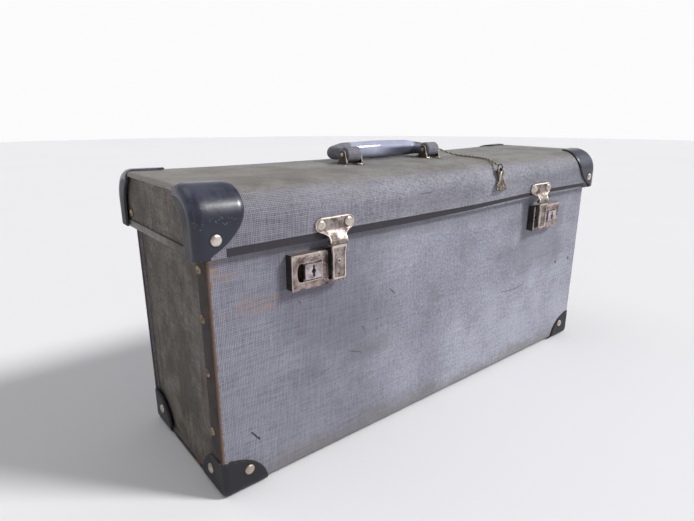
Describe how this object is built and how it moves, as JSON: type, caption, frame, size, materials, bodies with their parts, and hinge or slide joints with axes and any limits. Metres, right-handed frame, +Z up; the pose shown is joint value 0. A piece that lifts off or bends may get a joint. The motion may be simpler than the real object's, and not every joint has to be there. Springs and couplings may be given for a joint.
{
  "type": "tool case with lift-out tray",
  "caption": "Long fibre-board tool case with a hinged overlapping lid, riveted corner caps, push-button hasp locks, folding handle, keys on a cord and a lift-out tray.",
  "frame": {"origin": "on the floor, under the middle of the case: its length and its depth over hasps and hinges are centred there", "axes": "+Z up, +X along the length to the right as seen from the front, -Y out of the front, where the locks are"},
  "size_m": [0.5212, 0.1752, 0.2598],
  "materials": {
    "grey_fibre": "vulcanised fibre board with a linen-embossed face, satin",
    "end_fibre": "vulcanised fibre board, darker and dirtier, matt",
    "hem_fibre": "fibre hem strip, matt",
    "rim_board": "thin varnished ply strip",
    "tray_wood": "oiled plywood",
    "foot_black": "black lacquered fibre, scuffed",
    "cap_blue_black": "blue-black lacquered fibre, glossy",
    "band_dark": "dark fibre strip, satin",
    "brass_rivet": "worn nickel-plated brass, domed",
    "tube_rivet": "tarnished brass",
    "aged_nickel": "aged nickel plate with dark specks and bright edges",
    "button_nickel": "aged nickel plate, finer",
    "hinge_steel": "dull nickel-plated steel",
    "bracket_steel": "tarnished steel with a bright cut edge",
    "grip_plastic": "glossy pale blue-grey moulded plastic",
    "knuckle_wrap": "cross-hatched grey wrap",
    "cord_braid": "fine braided cord, green-gold",
    "key_metal": "small plated keys, worn"
  },
  "bodies": {
    "case": {"body_wrap": "grey_fibre", "body_end_left": "end_fibre", "body_end_right": "end_fibre", "inner_collar": "rim_board", "tray_cleat_left": "tray_wood", "tray_cleat_right": "tray_wood", "foot_cap_front_left": "foot_black", "foot_cap_front_right": "foot_black", "foot_cap_back_left": "foot_black", "foot_cap_back_right": "foot_black", "foot_cap_rivets": "brass_rivet", "body_end_rivets": "tube_rivet", "body_front_rivets": "aged_nickel", "lock_case_left": "aged_nickel", "lock_case_right": "aged_nickel", "hinge_body_leaf_left": "hinge_steel", "hinge_body_leaf_right": "hinge_steel", "hinge_pin_left": "hinge_steel", "hinge_pin_right": "hinge_steel", "hinge_body_rivets": "hinge_steel"},
    "lid": {"lid_wrap": "grey_fibre", "lid_end_left": "end_fibre", "lid_end_right": "end_fibre", "lid_band_front": "band_dark", "lid_hem_left": "hem_fibre", "lid_hem_right": "hem_fibre", "lid_cap_front_left": "cap_blue_black", "lid_cap_front_right": "cap_blue_black", "lid_cap_back_left": "cap_blue_black", "lid_cap_back_right": "cap_blue_black", "lid_cap_rivets": "brass_rivet", "lid_end_rivets": "tube_rivet", "hinge_lid_leaf_left": "hinge_steel", "hinge_lid_leaf_right": "hinge_steel", "hinge_lid_rivets": "hinge_steel", "hasp_plate_left": "aged_nickel", "hasp_plate_right": "aged_nickel", "hasp_pin_left": "aged_nickel", "hasp_pin_right": "aged_nickel", "hasp_rivets": "aged_nickel", "handle_bracket_left": "bracket_steel", "handle_bracket_right": "bracket_steel", "handle_pin_left": "brass_rivet", "handle_pin_right": "brass_rivet", "handle_rivets": "brass_rivet", "key_cord": "cord_braid", "key_ring": "key_metal", "keys": "key_metal"},
    "handle": {"handle_grip": "grip_plastic", "handle_knuckle_left": "knuckle_wrap", "handle_knuckle_right": "knuckle_wrap"},
    "hasp_left": {"hasp_strap_left": "aged_nickel"},
    "hasp_right": {"hasp_strap_right": "aged_nickel"},
    "button_left": {"lock_button_left": "button_nickel"},
    "button_right": {"lock_button_right": "button_nickel"},
    "tray": {"tray_shell": "tray_wood", "tray_long_divider": "tray_wood", "tray_cross_dividers": "tray_wood"}
  },
  "joints": [
    {"name": "lid_hinge", "type": "hinge", "parent": "case", "child": "lid", "pos_m": [0, 0.085, 0.1932], "axis": [-1, 0, 0], "range_deg": [0, 105]},
    {"name": "handle_swing", "type": "hinge", "parent": "lid", "child": "handle", "pos_m": [0, 0.003, 0.2495], "axis": [1, 0, 0], "range_deg": [0, 175]},
    {"name": "hasp_left_swing", "type": "hinge", "parent": "lid", "child": "hasp_left", "pos_m": [-0.147, -0.0852, 0.1936], "axis": [-1, 0, 0], "range_deg": [0, 110]},
    {"name": "hasp_right_swing", "type": "hinge", "parent": "lid", "child": "hasp_right", "pos_m": [0.143, -0.0852, 0.1936], "axis": [-1, 0, 0], "range_deg": [0, 110]},
    {"name": "button_left_slide", "type": "slide", "parent": "case", "child": "button_left", "axis": [-1, 0, 0], "range_m": [0, 0.0055], "stiffness_N_per_m": 120},
    {"name": "button_right_slide", "type": "slide", "parent": "case", "child": "button_right", "axis": [-1, 0, 0], "range_m": [0, 0.0055]},
    {"name": "tray_lift", "type": "slide", "parent": "case", "child": "tray", "axis": [0, 0, 1], "range_m": [0, 0.15]}
  ],
  "couplings": [
    {"joint": "tray_lift", "follows": "lid_hinge", "m_per_rad": 0.08}
  ]
}
